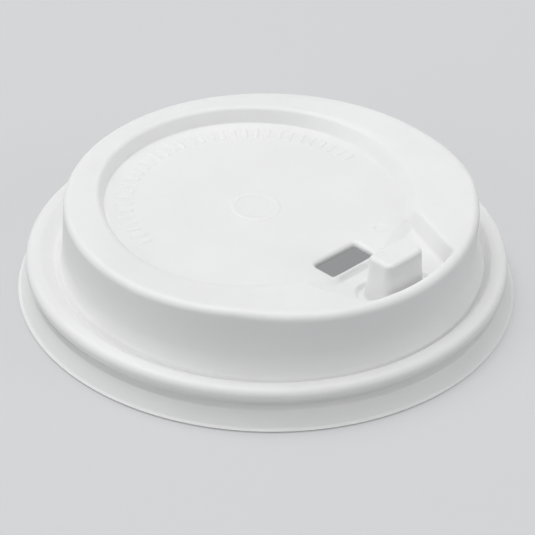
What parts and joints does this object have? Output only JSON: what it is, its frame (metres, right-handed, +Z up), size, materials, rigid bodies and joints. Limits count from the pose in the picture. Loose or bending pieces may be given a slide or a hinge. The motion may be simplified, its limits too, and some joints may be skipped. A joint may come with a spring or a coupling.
{
  "type": "cup lid",
  "caption": "Round takeaway cup lid with a flared skirt, a snap bead, a raised rim, a sunk deck, a drinking slot and a hollow plug in a pocket.",
  "frame": {"origin": "centre of the lid, in the plane of the skirt's trimmed edge that it rests on", "axes": "+Z up out of the top, -Y toward the drinking slot and the front of the rim"},
  "size_m": [0.094, 0.094, 0.0231],
  "materials": {
    "white_plastic": "smooth satin, formed from thin sheet"
  },
  "bodies": {
    "root": {"lid": "white_plastic"}
  },
  "joints": []
}
